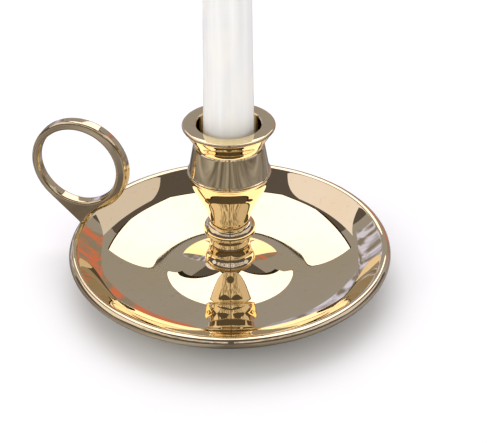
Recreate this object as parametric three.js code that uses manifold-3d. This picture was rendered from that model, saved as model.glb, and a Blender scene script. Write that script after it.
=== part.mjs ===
// Brass chamberstick: a dished drip pan with a raised boss and a beaded rim, a finger ring riveted to
// the rim, a turned stem screwed up through the boss, a candle socket screwed into the stem, and a
// loose taper candle.
// Millimetres, +Z up. Z = 0 is the table. The finger ring points along -X and the whole stick is
// mirror symmetric in Y. The origin is the middle of the footprint on the table.

import * as THREE from 'three';
import { mergeVertices } from 'three/addons/utils/BufferGeometryUtils.js';
import Module from 'manifold-3d';

const wasm = await Module();
wasm.setup();

// ---- Driving dimensions -------------------------------------------------------------------

const SEAT_GAP = 0.02;              // drawn between turned faces that bear on each other
const TURNED_GAP = 0.3;             // drawn round shanks and spigots in their holes

const PAN_RADIUS = 70;              // outer edge of the rim
const RIM_SECTION = 2.4;            // section radius of the rim's bead
const RIM_HEIGHT = 15.9;            // height of the middle of the bead's section
const PAN_SHEET = 1.6;              // thickness of the wall and floor
const WALL_SLOPE = 45;              // degrees, where the wall meets the rim
const BEND_START = 34;              // radius where the floor starts to turn up
const BEND_END = 56;                // radius where the bend runs into the wall
const BEND_SLOPE = 26;              // degrees, at the end of the bend
const FLOOR_TOP = 3.7;              // at the foot of the boss
const FLOOR_SLOPE = 1.1;            // degrees, at the foot of the boss
const FLOOR_END_SLOPE = 1.7;        // degrees, where the bend starts
const BOSS_FOOT = 28.2;             // radius where the boss's fillet starts
const BOSS_FILLET = 24;             // radius where the fillet runs into the boss's flare
const BOSS_SLOPE = 15;              // degrees, falling outwards, at the top of the fillet
const BOSS_TOP_SLOPE = 34;          // degrees, under the stem
const BOSS_TOP_RADIUS = 9.8;        // flat top that the stem stands on
const BOSS_TOP = 9.6;
const RECESS_RADIUS = 21;           // hollow under the boss, round the screw
const RECESS_HEIGHT = 2.6;          // at its edge
const RECESS_DRAFT = 0.5;
const SCREW_SEAT_RADIUS = 13;       // flat ceiling of the hollow
const SCREW_SEAT_HEIGHT = 4.6;
const REST_RADIUS = 29;             // outer edge of the ring that stands on the table
const REST_HEIGHT = 1.4;

const NECK_RADIUS = 9;              // underside of the stem
const LOWER_BEAD_RADIUS = 11;
const LOWER_BEAD_HEIGHT = 10;
const LOWER_BEAD_SHOULDER = 2.3;    // height of the round shoulder above the bead
const GROOVE_RADIUS = 8.6;
const GROOVE_HEIGHT = 18.6;         // the stem's waist steps in here
const GROOVE_STEP = 0.3;
const UPPER_BEAD_RADIUS = 11.3;
const UPPER_BEAD_HEIGHT = 25.5;
const UPPER_BEAD_COVE = 2;          // height of the hollow under the bead
const STEM_TOP = 29.1;
const STEM_BORE_DEPTH = 8.4;

const SPIGOT_RADIUS = 4;
const SPIGOT_LENGTH = 9;
const BOWL_BASE_RADIUS = 8.4;
const BOWL_FLARE = 1.2;             // how much the bowl opens in its lower half
const BOWL_PULL_LOW = 10;           // heights of the two pulls on the bowl's curve, above its base
const BOWL_PULL_HIGH = 15.6;
const RIDGE_RADIUS = 17.7;
const RIDGE_HEIGHT = 54.1;
const RIDGE_SECTION = 0.6;
const COLLAR_RADIUS = 14.9;         // the cup's wall tapers to this where it meets the flange's cove
const COLLAR_HEIGHT = 67.2;
const COLLAR_STEP = 0.5;
const COVE_HEIGHT = 7.6;
const FLANGE_RADIUS = 19.3;
const FLANGE_EDGE = 0.8;            // radius of the flange's rounded edge
const SOCKET_TOP = 76.5;
const MOUTH_RADIUS = 13.4;
const MOUTH_BEVEL = 0.4;
const SOCKET_FLOOR_RADIUS = 11.4;
const SOCKET_FLOOR = 53.5;

const SCREW_RADIUS = 2.5;
const SCREW_LENGTH = 12.5;
const SCREW_HEAD_RADIUS = 5;
const SCREW_HEAD_THICKNESS = 1.5;
const SCREW_HEAD_BEVEL = 0.8;
const SCREW_POINT_BEVEL = 0.6;
const SLOT_WIDTH = 1.1;
const SLOT_DEPTH = 0.8;
const WASHER_RADIUS = 6.5;
const WASHER_THICKNESS = 0.6;

const RING_CENTRE = { x: -68.4, z: 46.7 };
const RING_HOLE_RADIUS = 17.9;
const RING_OUTER_RADIUS = 22;
const RING_THICK_SIDE = 1;          // the outside circle's centre is this much nearer the stem
const RING_WIDTH = 5.6;
const RING_ROUNDING = 1.3;
const RING_LEAVE = -68;             // degrees round the ring where the foot's inner side leaves it
const RING_STEPS = 40;              // sides of the ring
const FOOT_OUTER = 152;             // degrees round the rim's section, corners of the ring's foot
const FOOT_INNER = 42;
const FOOT_SINK = 2.1;              // distance of those corners from the middle of the section
const FOOT_CURVE = 5;               // how far the foot's inner side runs up before it bends
const RIVET_RADIUS = 0.6;
const RIVET_LENGTH = 7.6;           // shank above the head
const RIVET_HEAD_RADIUS = 1.6;
const RIVET_HEAD_THICKNESS = 0.7;

const CANDLE_LENGTH = 200;
const CANDLE_BASE_RADIUS = 10.85;
const CANDLE_TAPER = 0.0163;        // loss of radius per millimetre of height
const CANDLE_SHOULDER = 8;          // height of the rounded tip
const CANDLE_BEVEL = 0.5;           // round its base
const WICK_BEVEL = 0.3;
const WICK_RADIUS = 0.8;
const WICK_SUNK = 5;
const WICK_SHOWN = 9;

const ROUND_PAN = 56;               // sides of the lathe solids
const ROUND_STEM = 36;
const ROUND_SMALL = 20;

// ---- Materials ----------------------------------------------------------------------------

const brass = new THREE.MeshStandardMaterial({ color: 0xd2a84e, roughness: 0.12, metalness: 1 });
const castBrass = new THREE.MeshStandardMaterial({ color: 0xc49a45, roughness: 0.2, metalness: 1 });
const brassScrew = new THREE.MeshStandardMaterial({ color: 0xb58d3e, roughness: 0.3, metalness: 1 });
const wax = new THREE.MeshStandardMaterial({ color: 0xefeeea, roughness: 0.45, metalness: 0 });
const cotton = new THREE.MeshStandardMaterial({ color: 0xe6dfcd, roughness: 0.9, metalness: 0 });

// ---- Helpers ------------------------------------------------------------------------------

const radians = THREE.MathUtils.degToRad;

// A point at a distance and an angle (degrees) from a centre, in an outline's plane.
function polar(centreX, centreY, distance, degrees) {
  const angle = radians(degrees);
  return new THREE.Vector2(centreX + distance * Math.cos(angle), centreY + distance * Math.sin(angle));
}

// A row of points round an arc, both ends included.
function arcPoints(centreX, centreY, radius, fromDegrees, toDegrees, steps) {
  const points = [];
  for (let i = 0; i <= steps; i += 1) {
    points.push(polar(centreX, centreY, radius, fromDegrees + (toDegrees - fromDegrees) * i / steps));
  }
  return points;
}

// A smooth curve that leaves one point and reaches another at these slopes in degrees.
function sweep(start, startSlope, end, endSlope) {
  const rise = Math.tan(radians(startSlope));
  const endRise = Math.tan(radians(endSlope));
  const x = (end.y - start.y + rise * start.x - endRise * end.x) / (rise - endRise);
  return new THREE.QuadraticBezierCurve(start, new THREE.Vector2(x, start.y + rise * (x - start.x)), end);
}

// The same line moved sideways by a distance, to the left of its direction of travel.
function offsetLine(points, distance) {
  return points.map((point, i) => {
    const before = points[Math.max(i - 1, 0)];
    const after = points[Math.min(i + 1, points.length - 1)];
    const along = after.clone().sub(before).normalize();
    return new THREE.Vector2(point.x - along.y * distance, point.y + along.x * distance);
  });
}

// A solid turned about Z from an outline of (radius, height) points.
function turned(points, sides) {
  const geometry = new THREE.LatheGeometry(points, sides);
  geometry.rotateX(Math.PI / 2);
  return geometry;
}

function toManifold(geometry) {
  const bare = geometry.clone();
  bare.deleteAttribute('normal');
  bare.deleteAttribute('uv');
  const merged = mergeVertices(bare, 1e-5);
  const corners = [];
  for (let i = 0; i < merged.index.count; i += 3) {
    const [a, b, c] = [merged.index.getX(i), merged.index.getX(i + 1), merged.index.getX(i + 2)];
    if (a !== b && b !== c && c !== a) {
      corners.push(a, b, c);
    }
  }
  return new wasm.Manifold(new wasm.Mesh({
    numProp: 3,
    vertProperties: new Float32Array(merged.attributes.position.array),
    triVerts: new Uint32Array(corners),
  }));
}

function fromManifold(solid) {
  const mesh = solid.getMesh();
  const geometry = new THREE.BufferGeometry();
  geometry.setAttribute('position', new THREE.BufferAttribute(mesh.vertProperties, 3));
  geometry.setIndex(new THREE.BufferAttribute(mesh.triVerts, 1));
  geometry.computeVertexNormals();
  return geometry;
}

function cut(geometry, tool) {
  return fromManifold(toManifold(geometry).subtract(toManifold(tool)));
}

// ---- Drip pan -----------------------------------------------------------------------------

const rimCentre = new THREE.Vector2(PAN_RADIUS - RIM_SECTION, RIM_HEIGHT);

// The pan's upper face, from the top of the boss outwards to where the wall meets the rim.
function panUpperFace() {
  const bossTop = new THREE.Vector2(BOSS_TOP_RADIUS, BOSS_TOP);
  const bossFoot = new THREE.Vector2(BOSS_FOOT, FLOOR_TOP);
  const filletRise = (BOSS_FOOT - BOSS_FILLET) * Math.tan(radians((BOSS_SLOPE - FLOOR_SLOPE) / 2));
  const filletTop = new THREE.Vector2(BOSS_FILLET, FLOOR_TOP + filletRise);
  const floorRise = (BEND_START - BOSS_FOOT) * Math.tan(radians((FLOOR_SLOPE + FLOOR_END_SLOPE) / 2));
  const floorEnd = new THREE.Vector2(BEND_START, FLOOR_TOP + floorRise);
  const bendRadius = (BEND_END - BEND_START)
    / (Math.sin(radians(BEND_SLOPE)) - Math.sin(radians(FLOOR_END_SLOPE)));
  const bendCentre = polar(floorEnd.x, floorEnd.y, bendRadius, 90 + FLOOR_END_SLOPE);
  const bend = arcPoints(bendCentre.x, bendCentre.y, bendRadius, FLOOR_END_SLOPE - 90, BEND_SLOPE - 90, 6);
  const wallTop = polar(rimCentre.x, rimCentre.y, RIM_SECTION, 90 + WALL_SLOPE);
  return [
    ...sweep(bossTop, -BOSS_TOP_SLOPE, filletTop, -BOSS_SLOPE).getPoints(5),
    ...sweep(filletTop, -BOSS_SLOPE, bossFoot, FLOOR_SLOPE).getPoints(3).slice(1),
    ...bend,
    ...sweep(bend[bend.length - 1], BEND_SLOPE, wallTop, WALL_SLOPE).getPoints(6).slice(1),
  ];
}

function dripPan() {
  const upper = panUpperFace();
  const clearOfRest = REST_RADIUS + 2 * PAN_SHEET;
  const clearOfRim = RIM_SECTION + PAN_SHEET / 4;
  const under = offsetLine(upper, -PAN_SHEET).filter(
    (point) => point.x > clearOfRest && point.distanceTo(rimCentre) > clearOfRim,
  );
  const joint = THREE.MathUtils.radToDeg(under[under.length - 1].clone().sub(rimCentre).angle());
  const rimBelow = arcPoints(rimCentre.x, rimCentre.y, RIM_SECTION, joint, 360, 8);
  const rimAbove = arcPoints(rimCentre.x, rimCentre.y, RIM_SECTION, 0, 90 + WALL_SLOPE, 9);
  const bore = SCREW_RADIUS + TURNED_GAP;
  const outline = [
    new THREE.Vector2(bore, SCREW_SEAT_HEIGHT),
    new THREE.Vector2(SCREW_SEAT_RADIUS, SCREW_SEAT_HEIGHT),
    new THREE.Vector2(RECESS_RADIUS, RECESS_HEIGHT),
    new THREE.Vector2(RECESS_RADIUS + RECESS_DRAFT, 0),
    new THREE.Vector2(REST_RADIUS, 0),
    new THREE.Vector2(REST_RADIUS + REST_HEIGHT, REST_HEIGHT),
    ...under,
    ...rimBelow.slice(1, -1),
    ...rimAbove.slice(0, -1),
    ...upper.reverse(),
    new THREE.Vector2(bore, BOSS_TOP),
    new THREE.Vector2(bore, SCREW_SEAT_HEIGHT),
  ];
  return cut(turned(outline, ROUND_PAN), rivetSpace());
}

// ---- Stem ---------------------------------------------------------------------------------

function stem() {
  const base = BOSS_TOP + SEAT_GAP;
  const bore = SCREW_RADIUS + TURNED_GAP;
  const spigotHole = SPIGOT_RADIUS + TURNED_GAP;
  const outline = new THREE.Path();
  outline.moveTo(0, base + STEM_BORE_DEPTH);
  outline.lineTo(bore, base + STEM_BORE_DEPTH);
  outline.lineTo(bore, base);
  outline.lineTo(NECK_RADIUS, base);
  outline.quadraticCurveTo(LOWER_BEAD_RADIUS, base, LOWER_BEAD_RADIUS, LOWER_BEAD_HEIGHT);
  const waist = GROOVE_RADIUS + GROOVE_STEP;
  const shoulder = LOWER_BEAD_HEIGHT + LOWER_BEAD_SHOULDER;
  outline.bezierCurveTo(
    LOWER_BEAD_RADIUS, shoulder, waist, shoulder, waist, (shoulder + GROOVE_HEIGHT) / 2,
  );
  outline.lineTo(waist, GROOVE_HEIGHT);
  outline.lineTo(GROOVE_RADIUS, GROOVE_HEIGHT + GROOVE_STEP);
  outline.bezierCurveTo(
    GROOVE_RADIUS, UPPER_BEAD_HEIGHT - UPPER_BEAD_COVE,
    UPPER_BEAD_RADIUS, UPPER_BEAD_HEIGHT - UPPER_BEAD_COVE, UPPER_BEAD_RADIUS, UPPER_BEAD_HEIGHT,
  );
  outline.quadraticCurveTo(UPPER_BEAD_RADIUS, STEM_TOP - GROOVE_STEP, GROOVE_RADIUS, STEM_TOP);
  outline.lineTo(spigotHole, STEM_TOP);
  outline.lineTo(spigotHole, STEM_TOP - SPIGOT_LENGTH - 1);
  outline.lineTo(0, STEM_TOP - SPIGOT_LENGTH - 1);
  return turned(outline.getPoints(4), ROUND_STEM);
}

// ---- Candle socket ------------------------------------------------------------------------

function candleSocket() {
  const base = STEM_TOP + SEAT_GAP;
  const ridge = RIDGE_RADIUS - RIDGE_SECTION;
  const flange = FLANGE_RADIUS - FLANGE_EDGE;
  const outline = new THREE.Path();
  outline.moveTo(0, base - SPIGOT_LENGTH);
  outline.lineTo(SPIGOT_RADIUS, base - SPIGOT_LENGTH);
  outline.lineTo(SPIGOT_RADIUS, base);
  outline.lineTo(BOWL_BASE_RADIUS, base);
  outline.bezierCurveTo(
    BOWL_BASE_RADIUS + BOWL_FLARE, base + BOWL_PULL_LOW, ridge - BOWL_FLARE / 2, base + BOWL_PULL_HIGH,
    ridge, RIDGE_HEIGHT - RIDGE_SECTION,
  );
  outline.absarc(ridge, RIDGE_HEIGHT, RIDGE_SECTION, -Math.PI / 2, Math.PI / 2, false);
  outline.lineTo(COLLAR_RADIUS, COLLAR_HEIGHT - COLLAR_STEP);
  outline.lineTo(COLLAR_RADIUS - COLLAR_STEP, COLLAR_HEIGHT);
  outline.quadraticCurveTo(
    COLLAR_RADIUS, COLLAR_HEIGHT + COVE_HEIGHT / 2, flange, COLLAR_HEIGHT + COVE_HEIGHT,
  );
  outline.absarc(flange, SOCKET_TOP - FLANGE_EDGE, FLANGE_EDGE, -Math.PI / 3, Math.PI / 2, false);
  outline.lineTo(MOUTH_RADIUS + MOUTH_BEVEL, SOCKET_TOP);
  outline.lineTo(MOUTH_RADIUS, SOCKET_TOP - MOUTH_BEVEL);
  outline.lineTo(SOCKET_FLOOR_RADIUS, SOCKET_FLOOR);
  outline.lineTo(0, SOCKET_FLOOR);
  return turned(outline.getPoints(4), ROUND_STEM);
}

// ---- Screw and washer under the pan -------------------------------------------------------

const washerBase = SCREW_SEAT_HEIGHT - SEAT_GAP - WASHER_THICKNESS;

function washer() {
  const bore = SCREW_RADIUS + TURNED_GAP;
  const outline = [
    new THREE.Vector2(bore, washerBase),
    new THREE.Vector2(WASHER_RADIUS, washerBase),
    new THREE.Vector2(WASHER_RADIUS, washerBase + WASHER_THICKNESS),
    new THREE.Vector2(bore, washerBase + WASHER_THICKNESS),
    new THREE.Vector2(bore, washerBase),
  ];
  return turned(outline, ROUND_SMALL);
}

function fixingScrew() {
  const headTop = washerBase - SEAT_GAP;
  const headBase = headTop - SCREW_HEAD_THICKNESS;
  const outline = [
    new THREE.Vector2(0, headBase),
    new THREE.Vector2(SCREW_HEAD_RADIUS - SCREW_HEAD_BEVEL, headBase),
    new THREE.Vector2(SCREW_HEAD_RADIUS, headBase + SCREW_HEAD_BEVEL),
    new THREE.Vector2(SCREW_HEAD_RADIUS, headTop),
    new THREE.Vector2(SCREW_RADIUS, headTop),
    new THREE.Vector2(SCREW_RADIUS, headTop + SCREW_LENGTH),
    new THREE.Vector2(SCREW_RADIUS - SCREW_POINT_BEVEL, headTop + SCREW_LENGTH + SCREW_POINT_BEVEL),
    new THREE.Vector2(0, headTop + SCREW_LENGTH + SCREW_POINT_BEVEL),
  ];
  const slot = new THREE.BoxGeometry(3 * SCREW_HEAD_RADIUS, SLOT_WIDTH, 2 * SLOT_DEPTH);
  slot.translate(0, 0, headBase);
  return cut(turned(outline, ROUND_SMALL), slot);
}

// ---- Finger ring and its rivet ------------------------------------------------------------

// Underside of the rivet's head, just clear of the bottom of the rim.
const rivetBase = RIM_HEIGHT - RIM_SECTION - TURNED_GAP;

function rivetSpace() {
  const radius = RIVET_RADIUS + TURNED_GAP;
  const length = RIVET_LENGTH + TURNED_GAP;
  const space = new THREE.CylinderGeometry(radius, radius, length, ROUND_SMALL);
  space.rotateX(Math.PI / 2);
  space.translate(-rimCentre.x, 0, rivetBase + length / 2);
  return space;
}

function handleRivet() {
  const outline = new THREE.Path();
  outline.moveTo(0, -RIVET_HEAD_THICKNESS);
  outline.quadraticCurveTo(RIVET_HEAD_RADIUS, -RIVET_HEAD_THICKNESS, RIVET_HEAD_RADIUS, 0);
  outline.lineTo(RIVET_RADIUS, 0);
  outline.lineTo(RIVET_RADIUS, RIVET_LENGTH);
  outline.lineTo(0, RIVET_LENGTH);
  const rivet = turned(outline.getPoints(4), ROUND_SMALL);
  rivet.translate(-rimCentre.x, 0, rivetBase);
  return rivet;
}

// The ring is a round-edged band. Its foot is a wedge that leaves the ring on a tangent on the outer
// side, turns down sharply on the side of the stem, and is hollowed underneath to sit over the rim.
function ringHandle() {
  const outerCentre = { x: RING_CENTRE.x + RING_THICK_SIDE, z: RING_CENTRE.z };
  const padInner = polar(-rimCentre.x, rimCentre.y, FOOT_SINK, FOOT_INNER);
  const padOuter = polar(-rimCentre.x, rimCentre.y, FOOT_SINK, FOOT_OUTER);
  const down = Math.atan2(padOuter.y - outerCentre.z, padOuter.x - outerCentre.x);
  const reach = Math.hypot(padOuter.y - outerCentre.z, padOuter.x - outerCentre.x);
  const tangent = THREE.MathUtils.radToDeg(down - Math.acos(RING_OUTER_RADIUS / reach));
  const round = arcPoints(
    outerCentre.x, outerCentre.z, RING_OUTER_RADIUS, tangent, RING_LEAVE - 360, RING_STEPS,
  );
  const inside = new THREE.QuadraticBezierCurve(
    round[round.length - 1], new THREE.Vector2(padInner.x, padInner.y + FOOT_CURVE), padInner,
  );
  const shape = new THREE.Shape([padOuter, ...round, ...inside.getPoints(6).slice(1)]);
  const hole = arcPoints(RING_CENTRE.x, RING_CENTRE.z, RING_HOLE_RADIUS, 0, 360, RING_STEPS);
  shape.holes.push(new THREE.Path(hole.slice(1)));
  const band = new THREE.ExtrudeGeometry(shape, {
    depth: RING_WIDTH - 2 * RING_ROUNDING,
    bevelEnabled: true,
    bevelThickness: RING_ROUNDING,
    bevelSize: RING_ROUNDING,
    bevelOffset: -RING_ROUNDING,
    bevelSegments: 3,
  });
  band.translate(0, 0, RING_ROUNDING - RING_WIDTH / 2);
  band.rotateX(Math.PI / 2);
  const saddle = new THREE.TorusGeometry(rimCentre.x, RIM_SECTION + TURNED_GAP, 24, ROUND_PAN);
  saddle.translate(0, 0, rimCentre.y);
  return cut(cut(band, saddle), rivetSpace());
}

// ---- Candle and wick ----------------------------------------------------------------------

const candleBase = SOCKET_FLOOR + SEAT_GAP;
const candleTop = candleBase + CANDLE_LENGTH;

function candle() {
  const shoulder = CANDLE_BASE_RADIUS - CANDLE_TAPER * (CANDLE_LENGTH - CANDLE_SHOULDER);
  const wickHole = WICK_RADIUS + TURNED_GAP;
  const outline = new THREE.Path();
  outline.moveTo(0, candleBase);
  outline.lineTo(CANDLE_BASE_RADIUS - CANDLE_BEVEL, candleBase);
  outline.lineTo(CANDLE_BASE_RADIUS, candleBase + CANDLE_BEVEL);
  outline.lineTo(shoulder, candleTop - CANDLE_SHOULDER);
  outline.quadraticCurveTo(shoulder - CANDLE_BEVEL, candleTop - WICK_RADIUS, 2 * wickHole, candleTop);
  outline.lineTo(wickHole, candleTop);
  outline.lineTo(wickHole, candleTop - WICK_SUNK);
  outline.lineTo(0, candleTop - WICK_SUNK);
  return turned(outline.getPoints(6), ROUND_STEM);
}

function wick() {
  const base = candleTop - WICK_SUNK + SEAT_GAP;
  const tip = candleTop + WICK_SHOWN;
  const outline = [
    new THREE.Vector2(0, base),
    new THREE.Vector2(WICK_RADIUS, base),
    new THREE.Vector2(WICK_RADIUS, tip - WICK_BEVEL),
    new THREE.Vector2(WICK_RADIUS - WICK_BEVEL, tip),
    new THREE.Vector2(0, tip),
  ];
  return turned(outline, ROUND_SMALL / 2);
}

// ---- Assembly -----------------------------------------------------------------------------

const pieces = [
  ['drip_pan', dripPan(), brass],
  ['stem', stem(), brass],
  ['candle_socket', candleSocket(), brass],
  ['stem_washer', washer(), brassScrew],
  ['fixing_screw', fixingScrew(), brassScrew],
  ['ring_handle', ringHandle(), castBrass],
  ['handle_rivet', handleRivet(), castBrass],
  ['candle', candle(), wax],
  ['wick', wick(), cotton],
];

const chamberstick = new THREE.Group();
for (const [name, geometry, material] of pieces) {
  const mesh = new THREE.Mesh(geometry, material);
  mesh.name = name;
  chamberstick.add(mesh);
}

// The ring reaches further out than the pan, so the stem stands off the middle of the footprint.
const ringReach = RING_OUTER_RADIUS - RING_CENTRE.x - RING_THICK_SIDE;
chamberstick.position.x = (ringReach - PAN_RADIUS) / 2;

export default chamberstick;
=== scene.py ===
"""Looks for the brass chamberstick: fine turned meshes, brass, wax and cotton, the studio and the camera.

Driving dimensions are millimetres and degrees. Objects are in metres, in the CAD frame: +Z up, the table at
Z = 0 and the finger ring along -X. The studio is in metres, in directions seen from the stick.
"""

import math

import bmesh
import bpy
from mathutils import Matrix, Vector


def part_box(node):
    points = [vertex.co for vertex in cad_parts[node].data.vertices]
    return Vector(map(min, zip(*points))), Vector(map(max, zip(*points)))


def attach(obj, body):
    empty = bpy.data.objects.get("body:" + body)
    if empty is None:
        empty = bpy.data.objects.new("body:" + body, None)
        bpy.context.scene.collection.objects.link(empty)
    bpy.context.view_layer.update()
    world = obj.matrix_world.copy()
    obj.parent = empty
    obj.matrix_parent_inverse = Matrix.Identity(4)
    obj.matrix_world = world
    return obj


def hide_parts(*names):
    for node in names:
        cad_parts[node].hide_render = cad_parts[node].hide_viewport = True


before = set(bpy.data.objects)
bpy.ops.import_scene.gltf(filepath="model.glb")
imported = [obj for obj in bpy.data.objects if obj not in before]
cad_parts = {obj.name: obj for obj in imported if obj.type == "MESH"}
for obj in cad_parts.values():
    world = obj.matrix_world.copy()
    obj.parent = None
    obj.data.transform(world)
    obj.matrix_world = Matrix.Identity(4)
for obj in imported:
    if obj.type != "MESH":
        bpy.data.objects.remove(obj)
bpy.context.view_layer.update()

MM = 0.001

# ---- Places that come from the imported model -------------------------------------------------

stem_lo, stem_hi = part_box("stem")
AXIS_X = (stem_lo.x + stem_hi.x) / 2

# ---- Driving dimensions, millimetres; angles and slopes are degrees -------------------------

PAN_RADIUS = 70
BEAD = 2.4                    # section radius of the rounded rim
BEAD_HEIGHT = 15.9            # height of the middle of the rim's section
PAN_SHEET = 1.6               # thickness of the floor and wall
WALL_SLOPE = 45               # where the wall meets the rim
BEND_START = 34               # radius where the floor starts to turn up
BEND_END = 56                 # radius where the bend runs into the wall
BEND_SLOPE = 26               # at the end of the bend
FLOOR_TOP = 3.7               # at the foot of the boss
FLOOR_SLOPE = 1.1             # at the foot of the boss
FLOOR_END_SLOPE = 1.7         # where the bend starts
BOSS_FOOT = 28.2              # radius where the boss's fillet starts
BOSS_FILLET = 24              # radius where the fillet runs into the boss's flare
BOSS_SLOPE = 15               # falling outwards, at the top of the fillet
BOSS_TOP_SLOPE = 34           # falling outwards, under the stem
BOSS_TOP_RADIUS = 9.8         # flat top of the boss, hidden by the stem's lower bead
SEAT_HEIGHT = 9.6             # of that flat top
RECESS_RADIUS = 21            # hollow under the boss, round the screw
RECESS_HEIGHT = 2.6           # at its edge
RECESS_DRAFT = 0.5
SCREW_SEAT_RADIUS = 13        # flat ceiling of the hollow
SCREW_SEAT_HEIGHT = 4.6
REST_RADIUS = 29              # outer edge of the ring that stands on the table
REST_FLARE = 1.5              # how far that ring widens on its way up to the sheet
REST_HEIGHT = 1.4
SHEET_START = 3               # the sheet's underside begins this far outside the rest ring
SHEET_END = 0.3               # and stops this far short of the rim's bead
SHEET_JOINT = 6               # degrees of the bead's section that their joint takes up
SCREW_BORE = 2.8

SEAT_GAP = 0.02               # between turned faces that bear on each other
TURNED_EDGE = 0.12            # rounding of the sharp edges of the stem and socket
PAN_EDGE = 0.3                # rounding of the sharp edges of the pan

NECK_RADIUS = 9               # underside of the stem
STEM_BORE_DEPTH = 9
LOWER_BEAD_RADIUS = 11
LOWER_BEAD_HEIGHT = 9.6       # where the bead is widest
WAIST_RADIUS = 8.9
GROOVE_RADIUS = 8.6
GROOVE_HEIGHT = 19.1
UPPER_COVE_RADIUS = 10.2      # top of the hollow under the upper bead
UPPER_COVE_HEIGHT = 23.6
UPPER_BEAD_RADIUS = 11.3
UPPER_BEAD_HEIGHT = 25.5
STEM_TOP = 29.1

SPIGOT_RADIUS = 4             # of the socket, in the stem
SPIGOT_LENGTH = 9
SPIGOT_HOLE_RADIUS = 4.3
SPIGOT_HOLE_DEPTH = 10
BOWL_BASE_RADIUS = 8.5
RIDGE_CENTRE = (17.1, 54.1)
RIDGE_SECTION = 0.62
COLLAR_RADIUS = 14.9          # the cup's wall tapers to this under the flange
COLLAR_HEIGHT = 66.7
COLLAR_STEP = (0.4, 0.5)      # in and up, from the taper to the flange's cove
FLANGE_CENTRE = (18.5, 75.7)  # of the flange's rounded edge
FLANGE_EDGE = 0.8
SOCKET_TOP = 76.5
MOUTH_RADIUS = 13.4
MOUTH_BEVEL = 0.4
SOCKET_FLOOR_RADIUS = 11.4

RING_CENTRE = (-68.4, 46.7)
RING_HOLE_RADIUS = 17.9
RING_OUTER_RADIUS = 22
RING_THICK_SIDE = 1           # the outside circle's centre is this much nearer the stem
RING_WIDTH = 5.6
RING_ROUNDING = 1.35
RING_LEAVE = -62              # angle round the ring, where the foot's inner side leaves it
FOOT_OUTER = 134              # angles round the rim's section, corners of the ring's foot
FOOT_INNER = 56
FOOT_SINK = 0.1               # how deep those corners lie in the rim
FOOT_CURVE = 5                # how far the foot's inner side runs on before it bends

CANDLE_LENGTH = 200
CANDLE_BASE_RADIUS = 10.85
CANDLE_TAPER = 0.0163         # loss of radius per millimetre of height
CANDLE_BASE = 53.52
CANDLE_SHOULDER = 8           # height of the rounded tip
CANDLE_EDGE = 0.5
WICK_RADIUS = 0.8
WICK_HOLE_RADIUS = 1.1
WICK_HOLE_DEPTH = 5
WICK_SHOWN = 9
WICK_BEVEL = (0.3, 0.4)       # across and down

AROUND = 256                  # steps round a turned piece
AROUND_CANDLE = 128
AROUND_WICK = 24


# ---- Outline helpers -------------------------------------------------------------------------

def polar(centre, distance, degrees):
    """The point at this distance and angle from a centre, in an outline's plane."""
    angle = math.radians(degrees)
    return (centre[0] + distance * math.cos(angle), centre[1] + distance * math.sin(angle))


def arc(centre, radius, start, end, steps):
    """Points round an arc, angles in degrees, both ends included."""
    return [polar(centre, radius, start + (end - start) * i / steps) for i in range(steps + 1)]


def curve(start, pull_start, pull_end, end, steps):
    """Points along a cubic Bezier curve, both ends included."""
    points = []
    corners = (start, pull_start, pull_end, end)
    for i in range(steps + 1):
        t = i / steps
        weights = ((1 - t) ** 3, 3 * (1 - t) ** 2 * t, 3 * (1 - t) * t * t, t ** 3)
        points.append(tuple(sum(w * c[k] for w, c in zip(weights, corners)) for k in (0, 1)))
    return points


def bent(start, pull, end, steps):
    """Points along a quadratic curve from start to end, pulled towards a third point."""
    points = []
    for i in range(steps + 1):
        t = i / steps
        weights = ((1 - t) ** 2, 2 * t * (1 - t), t * t)
        points.append(tuple(sum(w * c[k] for w, c in zip(weights, (start, pull, end))) for k in (0, 1)))
    return points


def sweep(start, start_slope, end, end_slope, steps=24):
    """A smooth curve that leaves one point and reaches another at these slopes in degrees."""
    rise_start = math.tan(math.radians(start_slope))
    rise_end = math.tan(math.radians(end_slope))
    x = (end[1] - start[1] + rise_start * start[0] - rise_end * end[0]) / (rise_start - rise_end)
    return bent(start, (x, start[1] + rise_start * (x - start[0])), end, steps)


def soften(points, radius, closed=False):
    """Rounds every corner sharper than 18 degrees with a small arc-like curve."""
    sharp = math.radians(18)
    longest = 0.45                # share of a side that the rounding may take up
    steps = 4
    rounded = []
    for i, here in enumerate(points):
        to_before = Vector(points[i - 1]) - Vector(here)
        to_after = Vector(points[(i + 1) % len(points)]) - Vector(here)
        turn = math.pi - to_before.angle(to_after, math.pi)
        loose_end = not closed and i in (0, len(points) - 1)
        if loose_end or turn < sharp:
            rounded.append(here)
            continue
        reach = min(radius * math.tan(turn / 2), longest * to_before.length, longest * to_after.length)
        start = Vector(here) + to_before.normalized() * reach
        end = Vector(here) + to_after.normalized() * reach
        rounded.extend(bent(start, here, end, steps))
    return rounded


# ---- Meshes ----------------------------------------------------------------------------------

def linked(name, mesh):
    """A new object in the scene, standing on the stem's axis."""
    thing = bpy.data.objects.new(name, mesh)
    thing.location = (AXIS_X, 0, 0)
    bpy.context.scene.collection.objects.link(thing)
    return thing


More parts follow.
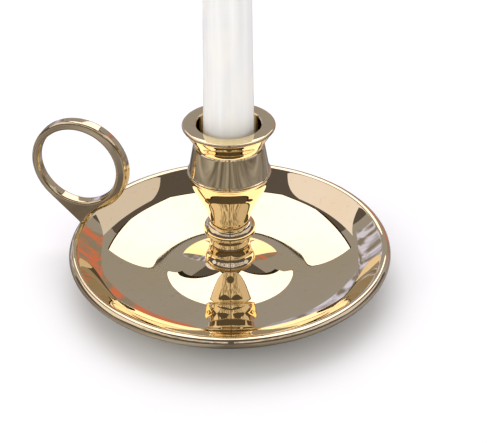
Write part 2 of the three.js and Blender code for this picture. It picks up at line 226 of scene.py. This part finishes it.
def turned(name, outline, closed=False, around=AROUND):
    """A smooth solid turned about the stem's axis from an outline of (radius, height) in millimetres."""
    sharp = math.radians(50)
    on_axis = 1e-6
    mesh = bpy.data.meshes.new(name)
    bm = bmesh.new()
    rings = []
    for radius, height in outline:
        count = 1 if radius < on_axis else around
        ring = []
        for i in range(count):
            x, y = polar((0, 0), radius * MM, 360 * i / count)
            ring.append(bm.verts.new((x, y, height * MM)))
        rings.append(ring)
    pairs = list(zip(rings, rings[1:]))
    if closed:
        pairs.append((rings[-1], rings[0]))
    for low, high in pairs:
        for i in range(around):
            j = (i + 1) % around
            corners = [low[i % len(low)], low[j % len(low)], high[j % len(high)], high[i % len(high)]]
            unique = list(dict.fromkeys(corners))
            if len(unique) > 2:
                bm.faces.new(unique)
    bmesh.ops.recalc_face_normals(bm, faces=bm.faces)
    bm.to_mesh(mesh)
    bm.free()
    mesh.shade_smooth()
    mesh.set_sharp_from_angle(angle=sharp)
    return linked(name, mesh)


# ---- Drip pan --------------------------------------------------------------------------------

def pan_upper_face():
    """From the top of the boss over its flare, the floor and the bend, up to the rim's bead."""
    bead = (PAN_RADIUS - BEAD, BEAD_HEIGHT)
    wall_top = polar(bead, BEAD, 90 + WALL_SLOPE)
    boss_top = (BOSS_TOP_RADIUS, SEAT_HEIGHT)
    boss_foot = (BOSS_FOOT, FLOOR_TOP)
    fillet_fall = math.tan(math.radians((BOSS_SLOPE - FLOOR_SLOPE) / 2))
    fillet_top = (BOSS_FILLET, FLOOR_TOP + (BOSS_FOOT - BOSS_FILLET) * fillet_fall)
    floor_rise = math.tan(math.radians((FLOOR_SLOPE + FLOOR_END_SLOPE) / 2))
    floor_end = (BEND_START, FLOOR_TOP + (BEND_START - BOSS_FOOT) * floor_rise)
    bend_turn = math.sin(math.radians(BEND_SLOPE)) - math.sin(math.radians(FLOOR_END_SLOPE))
    bend_radius = (BEND_END - BEND_START) / bend_turn
    bend_centre = polar(floor_end, bend_radius, 90 + FLOOR_END_SLOPE)
    bend = arc(bend_centre, bend_radius, FLOOR_END_SLOPE - 90, BEND_SLOPE - 90, 20)
    return [
        *sweep(boss_top, -BOSS_TOP_SLOPE, fillet_top, -BOSS_SLOPE),
        *sweep(fillet_top, -BOSS_SLOPE, boss_foot, FLOOR_SLOPE, 16)[1:],
        *sweep(boss_foot, FLOOR_SLOPE, floor_end, FLOOR_END_SLOPE, 16)[1:],
        *bend[1:],
        *sweep(bend[-1], BEND_SLOPE, wall_top, WALL_SLOPE, 30)[1:],
    ]


def pan_outline():
    bead = (PAN_RADIUS - BEAD, BEAD_HEIGHT)
    top = pan_upper_face()
    under = []
    for before, here, after in zip(top[:1] + top, top, top[1:] + top[-1:]):
        along = (Vector(after) - Vector(before)).normalized()
        below = (here[0] + along.y * PAN_SHEET, here[1] - along.x * PAN_SHEET)
        if math.dist(below, bead) > BEAD + SHEET_END and below[0] > REST_RADIUS + SHEET_START:
            under.append(below)
    joint = math.degrees(math.atan2(under[-1][1] - bead[1], under[-1][0] - bead[0])) % 360
    rim = arc(bead, BEAD, joint + SHEET_JOINT, 90 + WALL_SLOPE + 360, 40)
    return soften([
        (SCREW_BORE, SCREW_SEAT_HEIGHT),
        (SCREW_SEAT_RADIUS, SCREW_SEAT_HEIGHT),
        (RECESS_RADIUS, RECESS_HEIGHT),
        (RECESS_RADIUS + RECESS_DRAFT, 0),
        (REST_RADIUS, 0),
        (REST_RADIUS + REST_FLARE, REST_HEIGHT),
        *under,
        *rim[:-1],
        *top[::-1],
        (SCREW_BORE, SEAT_HEIGHT),
    ], PAN_EDGE, closed=True)


# ---- Stem and socket -------------------------------------------------------------------------

def lower_bead(base):
    """A short foot, the widest part with a straight lip, and a long shoulder up to the waist."""
    radius, height = LOWER_BEAD_RADIUS, LOWER_BEAD_HEIGHT
    lip = height + 0.4
    foot = curve((10.4, base), (10.9, base), (radius, base + 0.3), (radius, lip), 14)
    shoulder = curve(
        (radius, lip), (radius, height + 2.3), (9, height + 2.7), (WAIST_RADIUS, height + 5.3), 20,
    )
    return foot + shoulder[1:]


def upper_bead():
    """A hollow that flares out to the bead, the bead, and a shoulder in to the stem's top."""
    cove = (UPPER_COVE_RADIUS, UPPER_COVE_HEIGHT)
    widest = (UPPER_BEAD_RADIUS, UPPER_BEAD_HEIGHT)
    hollow = curve(
        (GROOVE_RADIUS, GROOVE_HEIGHT + 0.2), (GROOVE_RADIUS, cove[1] - 1.3),
        (8.9, cove[1] - 0.3), cove, 14,
    )
    swell = curve(cove, (11, cove[1] + 0.2), (widest[0], widest[1] - 1), widest, 12)
    shoulder = curve(
        widest, (widest[0], widest[1] + 1.8), (10.4, widest[1] + 3.2), (GROOVE_RADIUS, STEM_TOP), 16,
    )
    return hollow + swell[1:] + shoulder[1:]


def stem_outline():
    base = SEAT_HEIGHT + SEAT_GAP
    return soften([
        (0, base + STEM_BORE_DEPTH),
        (SCREW_BORE, base + STEM_BORE_DEPTH),
        (SCREW_BORE, base),
        (NECK_RADIUS, base),
        *lower_bead(base),
        (WAIST_RADIUS - 0.05, GROOVE_HEIGHT - 0.8),
        (WAIST_RADIUS, GROOVE_HEIGHT - 0.5),
        (GROOVE_RADIUS, GROOVE_HEIGHT),
        *upper_bead(),
        (SPIGOT_HOLE_RADIUS, STEM_TOP),
        (SPIGOT_HOLE_RADIUS, STEM_TOP - SPIGOT_HOLE_DEPTH),
        (0, STEM_TOP - SPIGOT_HOLE_DEPTH),
    ], TURNED_EDGE)


def socket_outline():
    """A spigot, a bowl that opens to the ridge, a tapered cup, and a cove that opens to the flange."""
    base = STEM_TOP + SEAT_GAP
    radius, ridge = RIDGE_CENTRE
    collar = (COLLAR_RADIUS, COLLAR_HEIGHT)
    bowl = curve((BOWL_BASE_RADIUS, base), (9.7, base + 10), (16.4, base + 15.6), (radius, ridge - 1), 40)
    cup = curve((radius - 0.1, ridge + 0.7), (16.3, ridge + 4.7), (15.6, ridge + 8.6), collar, 24)
    cove = curve(
        (14.6, ridge + 13.2), (15.2, ridge + 15.8), (16.8, ridge + 17.2), (18.4, SOCKET_TOP - 1.8), 20,
    )
    return soften([
        (0, base - SPIGOT_LENGTH),
        (SPIGOT_RADIUS, base - SPIGOT_LENGTH),
        (SPIGOT_RADIUS, base),
        (BOWL_BASE_RADIUS, base),
        *bowl,
        *arc(RIDGE_CENTRE, RIDGE_SECTION, -80, 80, 8),
        *cup,
        (COLLAR_RADIUS - COLLAR_STEP[0], COLLAR_HEIGHT + COLLAR_STEP[1]),
        *cove,
        *arc(FLANGE_CENTRE, FLANGE_EDGE, -50, 90, 8),
        (MOUTH_RADIUS + MOUTH_BEVEL, SOCKET_TOP),
        (MOUTH_RADIUS, SOCKET_TOP - MOUTH_BEVEL),
        (SOCKET_FLOOR_RADIUS, CANDLE_BASE - SEAT_GAP),
        (0, CANDLE_BASE - SEAT_GAP),
    ], TURNED_EDGE)


# ---- Finger ring -----------------------------------------------------------------------------

def ring_outline():
    """The ring's outside, with a wedge foot that leaves it on a tangent and stands on the rim."""
    centre = (RING_CENTRE[0] + RING_THICK_SIDE, RING_CENTRE[1])
    bead = (-(PAN_RADIUS - BEAD), BEAD_HEIGHT)
    outer_corner = polar(bead, BEAD - FOOT_SINK, FOOT_OUTER)
    inner_corner = polar(bead, BEAD - FOOT_SINK, FOOT_INNER)
    down = math.atan2(outer_corner[1] - centre[1], outer_corner[0] - centre[0])
    reach = math.dist(outer_corner, centre)
    tangent = math.degrees(down - math.acos(RING_OUTER_RADIUS / reach))
    outside = arc(centre, RING_OUTER_RADIUS, tangent, RING_LEAVE - 360, 150)
    inner_side = curve(
        outside[-1], polar(outside[-1], FOOT_CURVE, RING_LEAVE - 90),
        (inner_corner[0] + 0.6, inner_corner[1] + 3.5), inner_corner, 14,
    )
    return [outer_corner, *outside, *inner_side[1:]]


def finger_ring(name):
    """A round-edged band of the ring's outline with the finger hole through it."""
    hole = arc(RING_CENTRE, RING_HOLE_RADIUS, 0, 360, 160)[:-1]
    data = bpy.data.curves.new("ring_outline", "CURVE")
    data.dimensions = "2D"
    data.fill_mode = "BOTH"
    data.extrude = (RING_WIDTH / 2 - RING_ROUNDING) * MM
    data.bevel_depth = RING_ROUNDING * MM
    data.bevel_resolution = 6
    data.offset = -RING_ROUNDING * MM
    for points in (ring_outline(), hole):
        spline = data.splines.new("POLY")
        spline.points.add(len(points) - 1)
        for point, (x, z) in zip(spline.points, points):
            point.co = (x * MM, z * MM, 0, 1)
        spline.use_cyclic_u = True
    holder = bpy.data.objects.new("ring_outline", data)
    bpy.context.scene.collection.objects.link(holder)
    bpy.context.view_layer.update()
    mesh = bpy.data.meshes.new_from_object(holder)
    bpy.data.objects.remove(holder)
    mesh.transform(Matrix.Rotation(math.pi / 2, 4, "X"))
    mesh.shade_smooth()
    piece = linked(name, mesh)
    weighted = piece.modifiers.new("even_shading", "WEIGHTED_NORMAL")
    weighted.weight = 100
    return piece


# ---- Candle and wick -------------------------------------------------------------------------

def candle_outline():
    top = CANDLE_BASE + CANDLE_LENGTH
    shoulder = CANDLE_BASE_RADIUS - CANDLE_TAPER * (CANDLE_LENGTH - CANDLE_SHOULDER)
    tip = curve(
        (shoulder, top - CANDLE_SHOULDER), (shoulder - 0.2, top - 3),
        (shoulder - 2.4, top - 0.3), (1.9, top), 18,
    )
    return soften([
        (0, CANDLE_BASE),
        (CANDLE_BASE_RADIUS, CANDLE_BASE),
        *tip,
        (WICK_HOLE_RADIUS, top),
        (WICK_HOLE_RADIUS, top - WICK_HOLE_DEPTH),
        (0, top - WICK_HOLE_DEPTH),
    ], CANDLE_EDGE)


def wick_outline():
    top = CANDLE_BASE + CANDLE_LENGTH
    foot = top - WICK_HOLE_DEPTH + SEAT_GAP
    tip = top + WICK_SHOWN
    across, down = WICK_BEVEL
    return [
        (0, foot),
        (WICK_RADIUS, foot),
        (WICK_RADIUS, tip - down),
        (WICK_RADIUS - across, tip),
        (0, tip),
    ]


# ---- Shader helpers --------------------------------------------------------------------------

def material(name):
    made = bpy.data.materials.new(name)
    made.use_nodes = True
    return made, made.node_tree.nodes, made.node_tree.links, made.node_tree.nodes["Principled BSDF"]


def noise(nodes, links, stretch, detail=3, coordinates=None):
    """A noise pattern with this many spots per metre along each axis of the object."""
    if coordinates is None:
        coordinates = nodes.new("ShaderNodeTexCoord").outputs["Object"]
    mapping = nodes.new("ShaderNodeMapping")
    mapping.inputs["Scale"].default_value = stretch
    texture = nodes.new("ShaderNodeTexNoise")
    texture.inputs["Scale"].default_value = 1
    texture.inputs["Detail"].default_value = detail
    links.new(coordinates, mapping.inputs["Vector"])
    links.new(mapping.outputs["Vector"], texture.inputs["Vector"])
    return texture.outputs["Fac"]


def ranged(nodes, links, value, low, high, start=0.35, end=0.65):
    """Spreads the middle part of a pattern over the range from low to high."""
    spread = nodes.new("ShaderNodeMapRange")
    spread.inputs["From Min"].default_value = start
    spread.inputs["From Max"].default_value = end
    spread.inputs["To Min"].default_value = low
    spread.inputs["To Max"].default_value = high
    links.new(value, spread.inputs["Value"])
    return spread.outputs["Result"]


def blend(nodes, links, factor, first, second):
    """A colour that goes from first to second as the factor goes from 0 to 1."""
    mix = nodes.new("ShaderNodeMix")
    mix.data_type = "RGBA"
    links.new(factor, mix.inputs["Factor"])
    for socket, colour in (("A", first), ("B", second)):
        if isinstance(colour, tuple):
            mix.inputs[socket].default_value = (*colour, 1)
        else:
            links.new(colour, mix.inputs[socket])
    return mix.outputs["Result"]


def bump(nodes, links, shader, height, strength, depth):
    """Relief of this depth in metres, from a pattern."""
    relief = nodes.new("ShaderNodeBump")
    relief.inputs["Strength"].default_value = strength
    relief.inputs["Distance"].default_value = depth
    links.new(height, relief.inputs["Height"])
    links.new(relief.outputs["Normal"], shader.inputs["Normal"])


def round_coordinates(nodes, links):
    """Distance from the turning axis and height, so that patterns run round the piece."""
    place = nodes.new("ShaderNodeTexCoord").outputs["Object"]
    split = nodes.new("ShaderNodeSeparateXYZ")
    flat = nodes.new("ShaderNodeCombineXYZ")
    length = nodes.new("ShaderNodeVectorMath")
    length.operation = "LENGTH"
    joined = nodes.new("ShaderNodeCombineXYZ")
    links.new(place, split.inputs["Vector"])
    links.new(split.outputs["X"], flat.inputs["X"])
    links.new(split.outputs["Y"], flat.inputs["Y"])
    links.new(flat.outputs["Vector"], length.inputs[0])
    links.new(length.outputs["Value"], joined.inputs["X"])
    links.new(split.outputs["Z"], joined.inputs["Z"])
    return joined.outputs["Vector"]


# ---- Brass -----------------------------------------------------------------------------------

POLISHED_TINT = (0.93, 0.76, 0.43)
CAST_TINT = (0.90, 0.72, 0.40)
SCREW_TINT = (0.80, 0.61, 0.31)
PALE_DRIFT = (1.02, 1.05, 1.18)       # what the palest brass is of the tint
TARNISH = (0.80, 0.70, 0.55)          # what tarnished brass is of the tint
POLISHED_ROUGHNESS = 0.012
CAST_ROUGHNESS = 0.05
SCREW_ROUGHNESS = 0.20
HAZE = 1.6                            # how much rougher the haziest patches are
POLISH_DEPTH = 0.0000001              # metres, a mirror finish
TOOL_DEPTH = 0.00001                  # metres, plainer work
DRIFTS = (22, 22, 22)                 # this and the next four are spots per metre
TARNISH_SPOTS = (420, 420, 420)
WIPED_PATCHES = (70, 70, 70)
TURNING_MARKS = (2600, 2600, 2600)
CAST_MARKS = (900, 900, 900)


def times(colour, factors):
    return tuple(c * f for c, f in zip(colour, factors))


def brass(name, tint, roughness, mark_depth, marks_round=True):
    """Polished brass: paler drifts, faint tarnish, wiped hazy patches and fine polishing marks."""
    made, nodes, links, shader = material(name)
    drift = ranged(nodes, links, noise(nodes, links, DRIFTS), 0, 1)
    spots = ranged(nodes, links, noise(nodes, links, TARNISH_SPOTS, 6), 0, 0.5, 0.60, 0.80)
    polished = blend(nodes, links, drift, tint, times(tint, PALE_DRIFT))
    links.new(blend(nodes, links, spots, polished, times(tint, TARNISH)), shader.inputs["Base Color"])
    shader.inputs["Metallic"].default_value = 1
    wiped = noise(nodes, links, WIPED_PATCHES, 5)
    haze = ranged(nodes, links, wiped, roughness, HAZE * roughness, 0.45, 0.75)
    links.new(haze, shader.inputs["Roughness"])
    if marks_round:
        marks = noise(nodes, links, TURNING_MARKS, 2, round_coordinates(nodes, links))
    else:
        marks = noise(nodes, links, CAST_MARKS, 4)
    bump(nodes, links, shader, marks, 0.6, mark_depth)
    return made


# ---- Wax and cotton --------------------------------------------------------------------------

WAX = (0.88, 0.885, 0.885)
WAX_RUN = (0.76, 0.765, 0.76)
WAX_MOTTLE = (0.90, 0.86, 0.78)
WAX_RUNS = (260, 260, 9)              # spots per metre, drawn out down the candle
WAX_PATCHES = (90, 90, 60)
WAX_RUN_DEPTH = 0.0001                # metres
WAX_GLOW = 0.35                       # share of the light that passes below the surface
WAX_GLOW_DEPTH = (0.006, 0.005, 0.004)   # metres, for red, green and blue
# painted shade: the darker colour in the gaps between the braid's strands
SHADED_STRAND_GAP = (0.55, 0.50, 0.40)
STRAND = (0.86, 0.83, 0.75)
STRAND_LEAN = 35                      # degrees
STRAND_BANDS = 420                    # scale of the wave pattern
STRAND_WOBBLE = 1.5
STRAND_DEPTH = 0.0002                 # metres
FIBRES = (5000, 5000, 2500)           # spots per metre


def dipped_wax(name):
    """White wax with faint runs down its length and a soft glow below the surface."""
    made, nodes, links, shader = material(name)
    runs = noise(nodes, links, WAX_RUNS, 4)
    mottle = noise(nodes, links, WAX_PATCHES, 5)
    streaked = blend(nodes, links, ranged(nodes, links, runs, 0, 1), WAX, WAX_RUN)
    mottled = blend(nodes, links, ranged(nodes, links, mottle, 0, 0.5), streaked, WAX_MOTTLE)
    links.new(mottled, shader.inputs["Base Color"])
    links.new(ranged(nodes, links, mottle, 0.28, 0.5), shader.inputs["Roughness"])
    shader.inputs["Subsurface Weight"].default_value = WAX_GLOW
    shader.inputs["Subsurface Radius"].default_value = WAX_GLOW_DEPTH
    bump(nodes, links, shader, runs, 0.35, WAX_RUN_DEPTH)
    return made


def braided_cotton(name):
    """Two crossed sets of strands with painted shade in the gaps between them, and fibre fuzz over them."""
    made, nodes, links, shader = material(name)
    place = nodes.new("ShaderNodeTexCoord").outputs["Object"]
    braid = nodes.new("ShaderNodeMath")
    braid.operation = "MAXIMUM"
    for k, lean in enumerate((-STRAND_LEAN, STRAND_LEAN)):
        mapping = nodes.new("ShaderNodeMapping")
        mapping.inputs["Rotation"].default_value = (0, math.radians(lean), 0)
        wave = nodes.new("ShaderNodeTexWave")
        wave.bands_direction = "Z"
        wave.inputs["Scale"].default_value = STRAND_BANDS
        wave.inputs["Distortion"].default_value = STRAND_WOBBLE
        links.new(place, mapping.inputs["Vector"])
        links.new(mapping.outputs["Vector"], wave.inputs["Vector"])
        links.new(wave.outputs["Fac"], braid.inputs[k])
    strands = braid.outputs["Value"]
    # the gaps between the strands get the darker colour, as painted shade
    links.new(blend(nodes, links, strands, SHADED_STRAND_GAP, STRAND), shader.inputs["Base Color"])
    fuzz = noise(nodes, links, FIBRES, 3)
    links.new(ranged(nodes, links, fuzz, 0.75, 0.95), shader.inputs["Roughness"])
    bump(nodes, links, shader, strands, 0.8, STRAND_DEPTH)
    return made


# ---- The visible pieces ----------------------------------------------------------------------

pan_brass = brass("pan_brass", POLISHED_TINT, POLISHED_ROUGHNESS, POLISH_DEPTH)
turned_brass = brass("turned_brass", POLISHED_TINT, POLISHED_ROUGHNESS, POLISH_DEPTH)
ring_brass = brass("ring_brass", CAST_TINT, CAST_ROUGHNESS, TOOL_DEPTH, marks_round=False)
screw_brass = brass("screw_brass", SCREW_TINT, SCREW_ROUGHNESS, TOOL_DEPTH)
wax = dipped_wax("candle_wax")
cotton = braided_cotton("wick_cotton")

pieces = [
    (turned("brass_pan", pan_outline(), closed=True), "drip_pan", "holder", pan_brass, "pan_brass"),
    (turned("brass_stem", stem_outline()), "stem", "holder", turned_brass, "turned_brass"),
    (turned("brass_socket", socket_outline()), "candle_socket", "holder", turned_brass, "turned_brass"),
    (finger_ring("finger_ring"), "ring_handle", "holder", ring_brass, "ring_brass"),
    (turned("taper_candle", candle_outline(), around=AROUND_CANDLE), "candle", "candle", wax, "candle_wax"),
    (turned("candle_wick", wick_outline(), around=AROUND_WICK), "wick", "candle", cotton, "wick_cotton"),
]
for piece, node, body, look, slot in pieces:
    piece.data.materials.clear()
    piece.data.materials.append(look)
    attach(piece, body)
    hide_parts(node)
for node in ("stem_washer", "fixing_screw", "handle_rivet"):
    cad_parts[node].material_slots[0].material = screw_brass

# ---- Studio dimensions and colours -----------------------------------------------------------

VIEW_AZIMUTH = -73.99         # degrees about the stem's axis from +X, where the camera stands
CAMERA_DISTANCE = 0.420       # metres, level, from the stem's axis
CAMERA_HEIGHT = 0.3011
CAMERA_DOWN = 33.01           # degrees
CAMERA_TURN = 0.84            # degrees right of the stem
CAMERA_ROLL = -0.18
FOCAL_LENGTH = 85.4           # millimetres
SENSOR_WIDTH = 36
NEAREST_SEEN = 0.01

CARD_STEPS = 12               # faces along each side of a card
CARD_CENTRE = 0.01            # height of the point that the cards' directions are seen from
LIGHT_DISTANCE = 5
LIGHT_SIZE = 4
FLOOR_REACH = 12              # metres from the stick to the edges of the floor

SOFTBOX = (1.0, 0.94, 1.09)
BLACK = (0.02, 0.018, 0.016)
GREY_WALL = (0.33, 0.325, 0.38)
BLUE_LIGHT = (0.75, 0.8, 1.35)
RED_CLOTH = (0.62, 0.2, 0.14)
FOLD = (0.27, 0.25, 0.26)     # between the streaks of a streaked card
FOLDS = (7, 7, 1.5)           # spots per metre, drawn out up the card
PAPER = (0.90, 0.90, 0.885)
PAPER_SHADE = (0.86, 0.86, 0.85)
PAPER_GRAIN = (30, 30, 30)    # spots per metre
MIRRORED_FLOOR = (0.06, 0.05, 0.045)
MIRRORED_STREAK = (0.34, 0.34, 0.38)
STREAKS = (2, 16, 1)          # spots per metre, drawn out along the view
SEEN_WORLD = (0.85, 0.85, 0.85)
MIRRORED_WORLD = (0.10, 0.09, 0.10)
TOP_LIGHT = (1.0, 0.99, 0.90)
FRONT_LIGHT = (1.0, 0.99, 0.93)


def direction(azimuth, elevation):
    """Unit vector. Azimuth 0 is straight behind the stick as the camera sees it, positive to the right."""
    heading = math.radians(VIEW_AZIMUTH + 180 - azimuth)
    lift = math.radians(elevation)
    level = math.cos(lift)
    return Vector((math.cos(heading) * level, math.sin(heading) * level, math.sin(lift)))


# ---- Studio cards ----------------------------------------------------------------------------

def card_mesh(name, corners, distance):
    """Part of a sphere round the stick, with its four corners in these directions."""
    low_left, low_right, top_right, top_left = (direction(*corner) for corner in corners)
    mesh = bpy.data.meshes.new(name)
    bm = bmesh.new()
    grid = []
    for i in range(CARD_STEPS + 1):
        low = low_left.lerp(low_right, i / CARD_STEPS)
        high = top_left.lerp(top_right, i / CARD_STEPS)
        column = [low.lerp(high, k / CARD_STEPS).normalized() * distance for k in range(CARD_STEPS + 1)]
        grid.append([bm.verts.new(place) for place in column])
    for left, right in zip(grid, grid[1:]):
        for k in range(CARD_STEPS):
            bm.faces.new((left[k], right[k], right[k + 1], left[k + 1]))
    bm.to_mesh(mesh)
    bm.free()
    return mesh


def card(name, corners, colour, glow, distance, lit=False, streaked=False):
    """A card that the brass mirrors and the camera doesn't see. A lit one also lights wax and floor."""
    made, nodes, links, shader = material(name)
    shader.inputs["Base Color"].default_value = (0, 0, 0, 1)
    shader.inputs["Specular IOR Level"].default_value = 0
    shader.inputs["Emission Color"].default_value = (*colour, 1)
    shader.inputs["Emission Strength"].default_value = glow
    if streaked:
        folds = ranged(nodes, links, noise(nodes, links, FOLDS, 4), 0, 1, 0.42, 0.58)
        links.new(blend(nodes, links, folds, colour, FOLD), shader.inputs["Emission Color"])
    sheet = linked(name, card_mesh(name, corners, distance))
    sheet.location.z = CARD_CENTRE
    sheet.data.materials.append(made)
    sheet.visible_camera = False
    sheet.visible_shadow = False
    sheet.visible_diffuse = lit


# Corners are (azimuth, elevation): lower left, lower right, upper right, upper left.
key = [(-25, 32.67), (26, 32.75), (84, 66), (-84, 69)]
frame_round_key = [(-26, 32.35), (27, 32.49), (90, 65), (-90, 68)]
left_side = [(-100, 15), (-41, 30), (-79, 61), (-130, 50)]
right_side = [(45, 26), (100, 15), (130, 45), (84, 55)]
front_left = [(-178, 25), (-112, 25), (-112, 52), (-178, 50)]
front_right = [(112, 25), (178, 25), (178, 50), (112, 52)]
behind = [(-60, -2), (60, -2), (50, 34), (-50, 34)]
low_left_behind = [(-50, -2), (-1, -2), (-2, 11), (-46, 26)]
low_right_behind = [(1, -2), (46, -2), (46, 26), (2, 11)]

card("key_softbox", key, SOFTBOX, 1.7, 2.0, lit=True)
card("key_frame", frame_round_key, BLACK, 1.0, 2.2)
card("left_softbox", left_side, SOFTBOX, 0.9, 2.3, lit=True)
card("right_softbox", right_side, SOFTBOX, 0.7, 2.3, lit=True)
card("front_left_wall", front_left, SOFTBOX, 0.9, 2.3, streaked=True)
card("front_right_wall", front_right, SOFTBOX, 0.9, 2.3, streaked=True)
card("back_wall", behind, GREY_WALL, 1.0, 2.6)
card("blue_window", low_left_behind, BLUE_LIGHT, 0.9, 2.5, streaked=True)
card("red_screen", low_right_behind, RED_CLOTH, 1.0, 2.5, streaked=True)


# ---- Lights, floor, world and camera ---------------------------------------------------------

def soft_light(name, azimuth, elevation, watts, colour):
    """A wide soft light that the brass doesn't mirror: it only lifts the wax, the wick and the floor."""
    data = bpy.data.lights.new(name, "AREA")
    data.energy = watts
    data.size = LIGHT_SIZE
    data.color = colour
    light = bpy.data.objects.new(name, data)
    towards = direction(azimuth, elevation)
    light.location = towards * LIGHT_DISTANCE
    light.rotation_euler = towards.to_track_quat("Z", "Y").to_euler()
    light.visible_glossy = False
    bpy.context.scene.collection.objects.link(light)


def pale_floor():
    """Pale paper, which the brass mirrors as a dark floor with lighter streaks along the view."""
    mesh = bpy.data.meshes.new("pale_floor")
    bm = bmesh.new()
    bmesh.ops.create_grid(bm, x_segments=1, y_segments=1, size=FLOOR_REACH)
    bm.to_mesh(mesh)
    bm.free()
    look, nodes, links, shader = material("pale_floor")
    grain = noise(nodes, links, PAPER_GRAIN, 5)
    paper = blend(nodes, links, grain, PAPER, PAPER_SHADE)
    ray = nodes.new("ShaderNodeLightPath")
    streaks = ranged(nodes, links, noise(nodes, links, STREAKS, 4), 0, 1)
    mirrored = blend(nodes, links, streaks, MIRRORED_FLOOR, MIRRORED_STREAK)
    seen = blend(nodes, links, ray.outputs["Is Glossy Ray"], paper, mirrored)
    links.new(seen, shader.inputs["Base Color"])
    shader.inputs["Roughness"].default_value = 0.9
    mesh.materials.append(look)
    floor = bpy.data.objects.new("pale_floor", mesh)
    floor.rotation_euler.z = math.radians(VIEW_AZIMUTH)
    bpy.context.scene.collection.objects.link(floor)


def studio_world():
    """Pale to the camera and as light, and dark where the brass mirrors it."""
    world = bpy.data.worlds.new("studio")
    bpy.context.scene.world = world
    world.use_nodes = True
    nodes, links = world.node_tree.nodes, world.node_tree.links
    ray = nodes.new("ShaderNodeLightPath")
    colour = blend(nodes, links, ray.outputs["Is Glossy Ray"], SEEN_WORLD, MIRRORED_WORLD)
    links.new(colour, nodes["Background"].inputs["Color"])


def photo_camera():
    camera = bpy.data.objects.new("camera", bpy.data.cameras.new("camera"))
    bpy.context.scene.collection.objects.link(camera)
    camera.data.lens = FOCAL_LENGTH
    camera.data.sensor_width = SENSOR_WIDTH
    camera.data.clip_start = NEAREST_SEEN
    x, y = polar((AXIS_X, 0), CAMERA_DISTANCE, VIEW_AZIMUTH)
    camera.location = (x, y, CAMERA_HEIGHT)
    heading = VIEW_AZIMUTH + 90 - CAMERA_TURN
    camera.rotation_euler = (math.radians(90 - CAMERA_DOWN), 0, math.radians(heading))
    camera.rotation_euler.rotate_axis("Z", math.radians(CAMERA_ROLL))
    bpy.context.scene.camera = camera


soft_light("overhead_fill", -15, 70, 45, TOP_LIGHT)
soft_light("left_front_fill", -120, 28, 60, FRONT_LIGHT)
soft_light("right_front_fill", 150, 25, 45, FRONT_LIGHT)
pale_floor()
studio_world()
photo_camera()
bpy.context.scene.view_settings.view_transform = "Standard"
